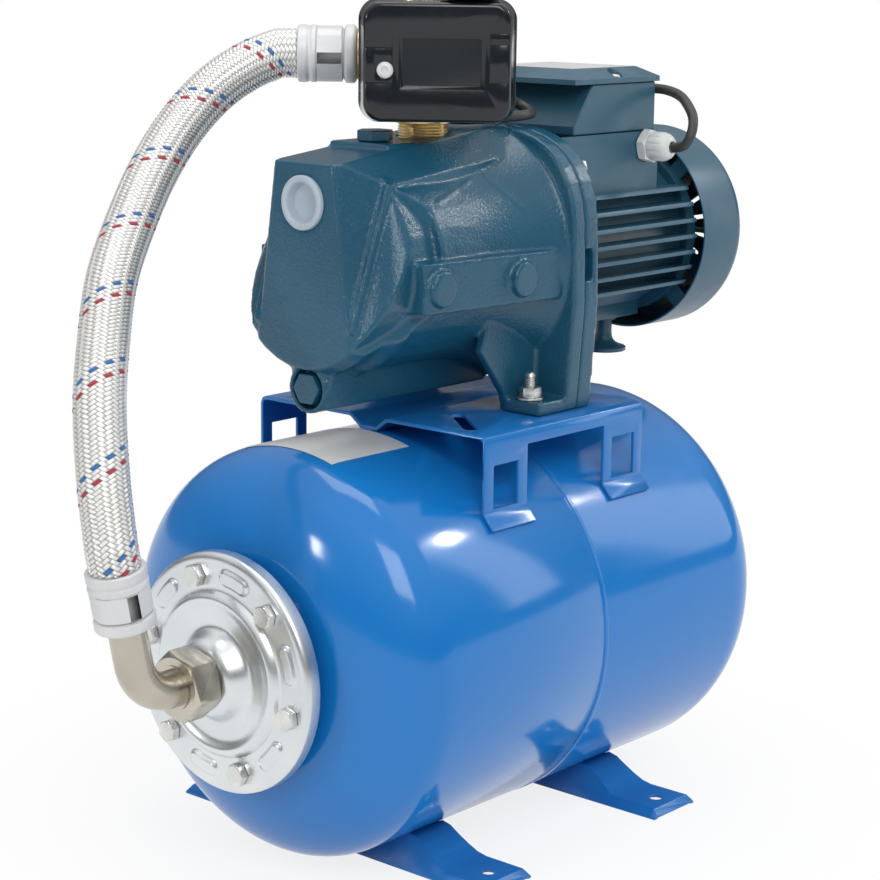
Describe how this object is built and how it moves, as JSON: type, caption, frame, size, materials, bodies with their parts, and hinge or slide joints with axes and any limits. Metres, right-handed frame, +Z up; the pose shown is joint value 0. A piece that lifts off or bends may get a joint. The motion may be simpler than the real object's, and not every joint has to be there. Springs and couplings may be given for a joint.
{
  "type": "booster pump set",
  "caption": "Domestic water booster set: a self-priming jet pump with motor on a platform over a horizontal pressure tank, joined by a braided hose, with a pressure switch.",
  "frame": {"origin": "middle of the footprint box, on the ground under the feet", "axes": "+X along the tank and the shaft from the suction side to the motor's fan, +Z up, +Y across, away from the switch cover"},
  "size_m": [0.5624, 0.2746, 0.5713],
  "materials": {
    "air_valve": "turned",
    "anchor_bolt_far": "zinc plated",
    "anchor_bolt_near": "zinc plated",
    "anchor_nut_far": "zinc plated",
    "anchor_nut_near": "zinc plated",
    "bladder": "matt",
    "cable_gland": "satin",
    "capacitor": "satin",
    "casing_bolt_1": "zinc plated",
    "casing_bolt_2": "zinc plated",
    "casing_bolt_3": "zinc plated",
    "casing_bolt_4": "zinc plated",
    "cooling_fan": "satin",
    "cover_screw": "zinc plated",
    "diffuser": "satin",
    "drain_plug": "petrol blue gloss paint",
    "ejector": "satin",
    "elbow_nut": "nickel plated",
    "elbow_pipe": "nickel plated",
    "end_shield": "petrol blue gloss paint",
    "fan_cover": "petrol blue gloss paint",
    "ferrule_lower": "bright",
    "ferrule_upper": "bright",
    "five_way_fitting": "turned",
    "flange_bolt_1": "zinc plated",
    "flange_bolt_2": "zinc plated",
    "flange_bolt_3": "zinc plated",
    "flange_bolt_4": "zinc plated",
    "flange_bolt_5": "zinc plated",
    "flange_bolt_6": "zinc plated",
    "front_bearing": "ground",
    "front_foot": "gloss blue enamel",
    "gland_nut": "satin",
    "hose": "braided wire over rubber",
    "impeller": "turned",
    "lid_screw_far": "zinc plated",
    "lid_screw_near": "zinc plated",
    "link_cable": "matt",
    "motor_bracket": "petrol blue gloss paint",
    "motor_foot": "petrol blue gloss paint",
    "motor_housing": "petrol blue gloss paint",
    "priming_plug": "petrol blue gloss paint",
    "pump_casing": "petrol blue gloss paint",
    "pump_platform": "gloss blue enamel",
    "rear_bearing": "ground",
    "rear_foot": "gloss blue enamel",
    "rotor": "ground",
    "selector_knob": "gloss",
    "shaft_seal": "ground",
    "stator": "ground",
    "suction_plug": "satin",
    "switch_base": "gloss",
    "switch_cover": "gloss",
    "tank_flange": "zinc plated",
    "tank_front_shell": "gloss blue enamel",
    "tank_rear_shell": "gloss blue enamel",
    "terminal_board": "satin",
    "terminal_box": "petrol blue gloss paint",
    "terminal_lid": "petrol blue gloss paint",
    "valve_cap": "satin"
  },
  "bodies": {
    "set": {"air_valve": "air_valve", "anchor_bolt_far": "anchor_bolt_far", "anchor_bolt_near": "anchor_bolt_near", "anchor_nut_far": "anchor_nut_far", "anchor_nut_near": "anchor_nut_near", "bladder": "bladder", "cable_gland": "cable_gland", "capacitor": "capacitor", "casing_bolt_1": "casing_bolt_1", "casing_bolt_2": "casing_bolt_2", "casing_bolt_3": "casing_bolt_3", "casing_bolt_4": "casing_bolt_4", "cover_screw": "cover_screw", "diffuser": "diffuser", "drain_plug": "drain_plug", "ejector": "ejector", "elbow_nut": "elbow_nut", "elbow_pipe": "elbow_pipe", "end_shield": "end_shield", "fan_cover": "fan_cover", "ferrule_lower": "ferrule_lower", "ferrule_upper": "ferrule_upper", "five_way_fitting": "five_way_fitting", "flange_bolt_1": "flange_bolt_1", "flange_bolt_2": "flange_bolt_2", "flange_bolt_3": "flange_bolt_3", "flange_bolt_4": "flange_bolt_4", "flange_bolt_5": "flange_bolt_5", "flange_bolt_6": "flange_bolt_6", "front_bearing": "front_bearing", "front_foot": "front_foot", "gland_nut": "gland_nut", "hose": "hose", "lid_screw_far": "lid_screw_far", "lid_screw_near": "lid_screw_near", "link_cable": "link_cable", "motor_bracket": "motor_bracket", "motor_foot": "motor_foot", "motor_housing": "motor_housing", "priming_plug": "priming_plug", "pump_casing": "pump_casing", "pump_platform": "pump_platform", "rear_bearing": "rear_bearing", "rear_foot": "rear_foot", "stator": "stator", "suction_plug": "suction_plug", "switch_base": "switch_base", "switch_cover": "switch_cover", "tank_flange": "tank_flange", "tank_front_shell": "tank_front_shell", "tank_rear_shell": "tank_rear_shell", "terminal_board": "terminal_board", "terminal_box": "terminal_box", "terminal_lid": "terminal_lid", "valve_cap": "valve_cap"},
    "rotor_assembly": {"rotor": "rotor", "impeller": "impeller", "shaft_seal": "shaft_seal", "cooling_fan": "cooling_fan"},
    "knob": {"selector_knob": "selector_knob"}
  },
  "joints": [
    {"name": "rotor_spin", "type": "hinge", "parent": "set", "child": "rotor_assembly", "pos_m": [0.15, 0, 0.386], "axis": [1, 0, 0], "continuous": true},
    {"name": "knob_turn", "type": "hinge", "parent": "set", "child": "knob", "pos_m": [-0.01027, -0.05376, 0.5533], "axis": [0, 0, 1], "range_deg": [0, 90]}
  ]
}
